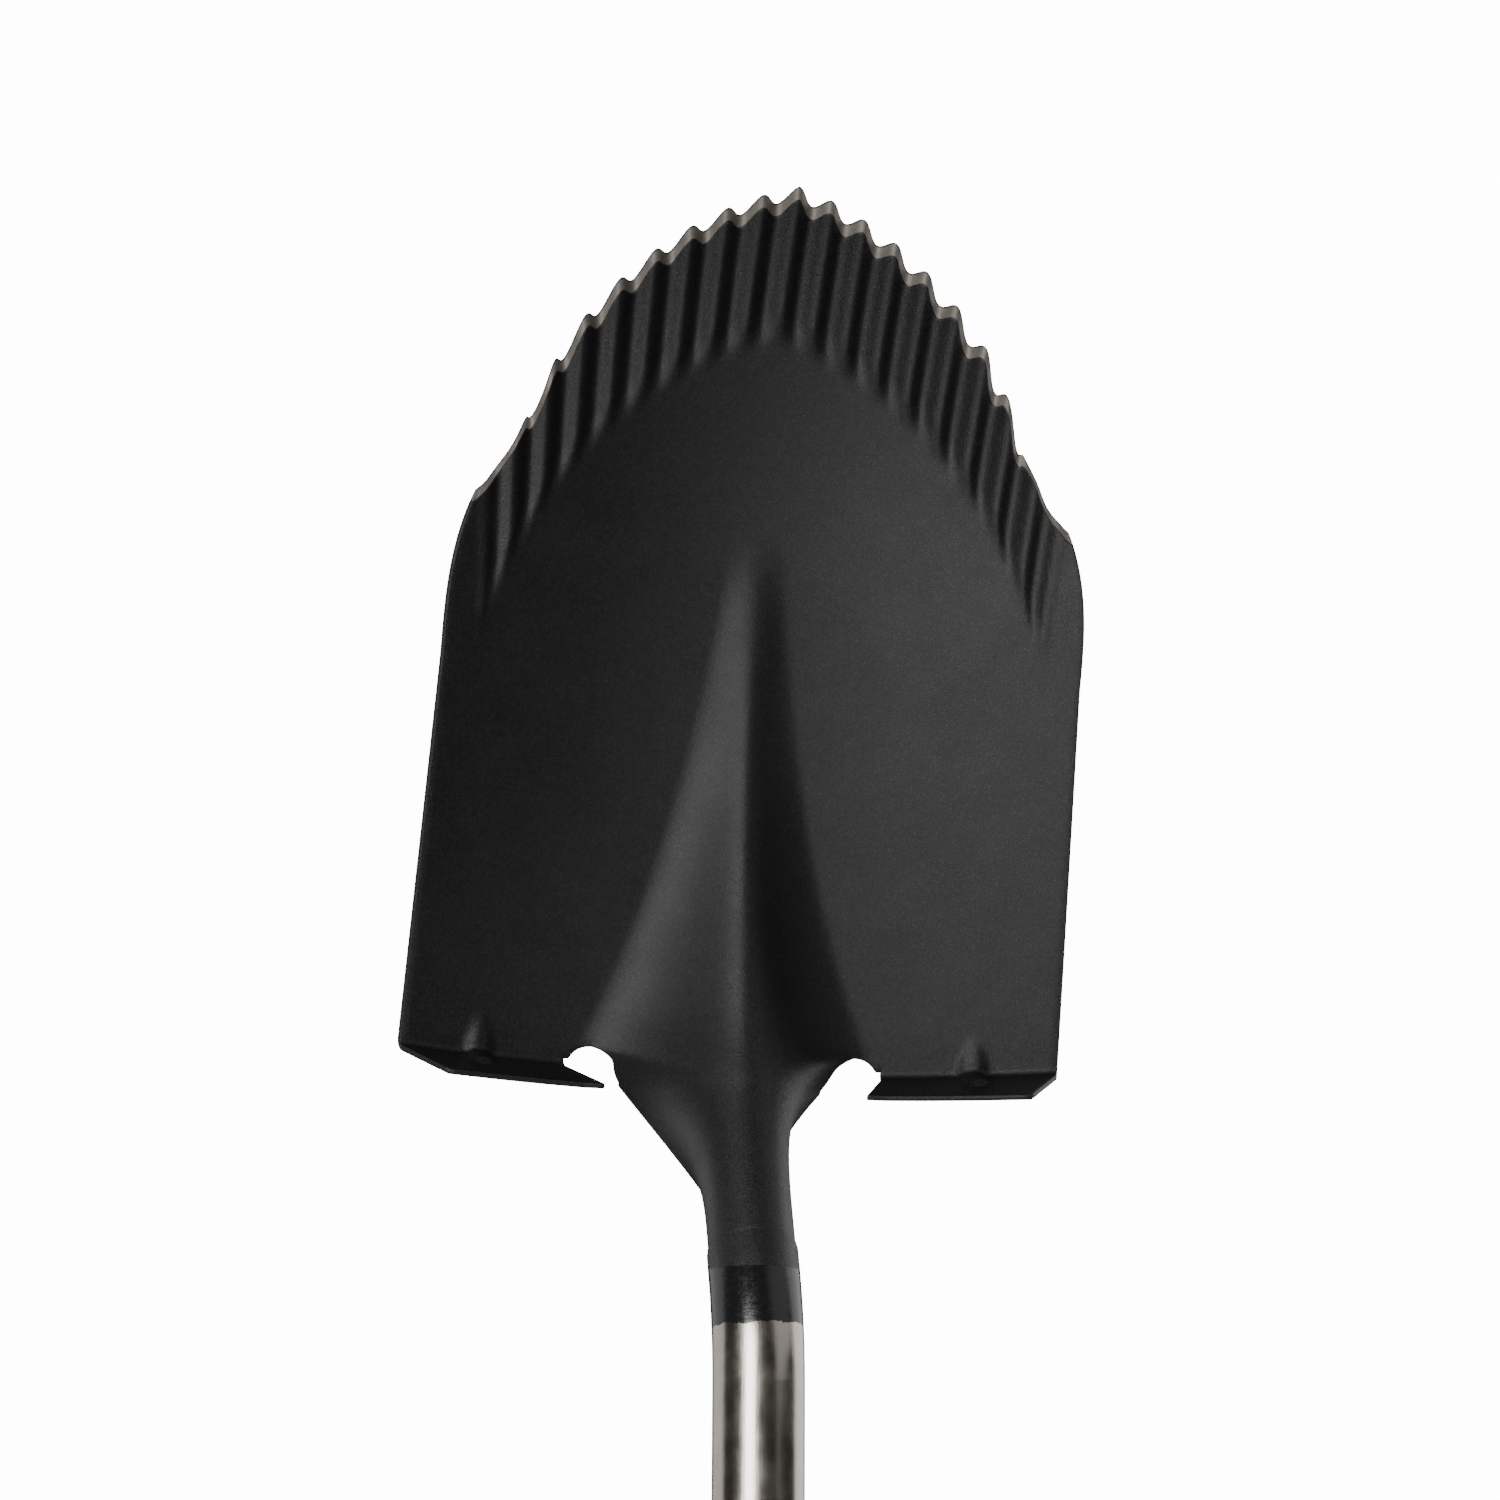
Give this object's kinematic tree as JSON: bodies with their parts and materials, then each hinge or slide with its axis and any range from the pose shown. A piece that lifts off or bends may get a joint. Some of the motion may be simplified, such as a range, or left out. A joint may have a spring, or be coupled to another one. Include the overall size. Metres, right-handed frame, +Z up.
{
  "type": "detecting shovel",
  "caption": "Steel digging shovel with a corrugated, sharpened round-point blade, forward-turned foot treads, a bent tube shaft and a riveted D-handle.",
  "frame": {"origin": "on the straight shaft's axis, at the middle of the bare length between the handle's fork and the bend", "axes": "+Z up the straight shaft towards the blade, -Y out of the blade's hollow face, +X across the blade"},
  "size_m": [0.24, 0.1149, 0.9917],
  "materials": {
    "powder_coat": "matte fine-grained powder coat",
    "bare_steel": "brushed, unpainted",
    "zinc_steel": "zinc-plated",
    "grip_rubber": "matte ribbed rubber",
    "plug_plastic": "matte"
  },
  "bodies": {
    "root": {"blade": "powder_coat", "shaft_tube": "bare_steel", "neck_ring_weld": "powder_coat", "neck_seam_weld": "powder_coat", "shaft_nose_cap": "powder_coat", "shaft_end_plug": "plug_plastic", "handle_yoke_left": "powder_coat", "handle_yoke_right": "powder_coat", "yoke_rivets": "zinc_steel", "grip_rod": "zinc_steel", "grip_core": "bare_steel", "grip_sleeve": "grip_rubber", "grip_washers": "zinc_steel", "grip_dome_nuts": "zinc_steel"}
  },
  "joints": []
}
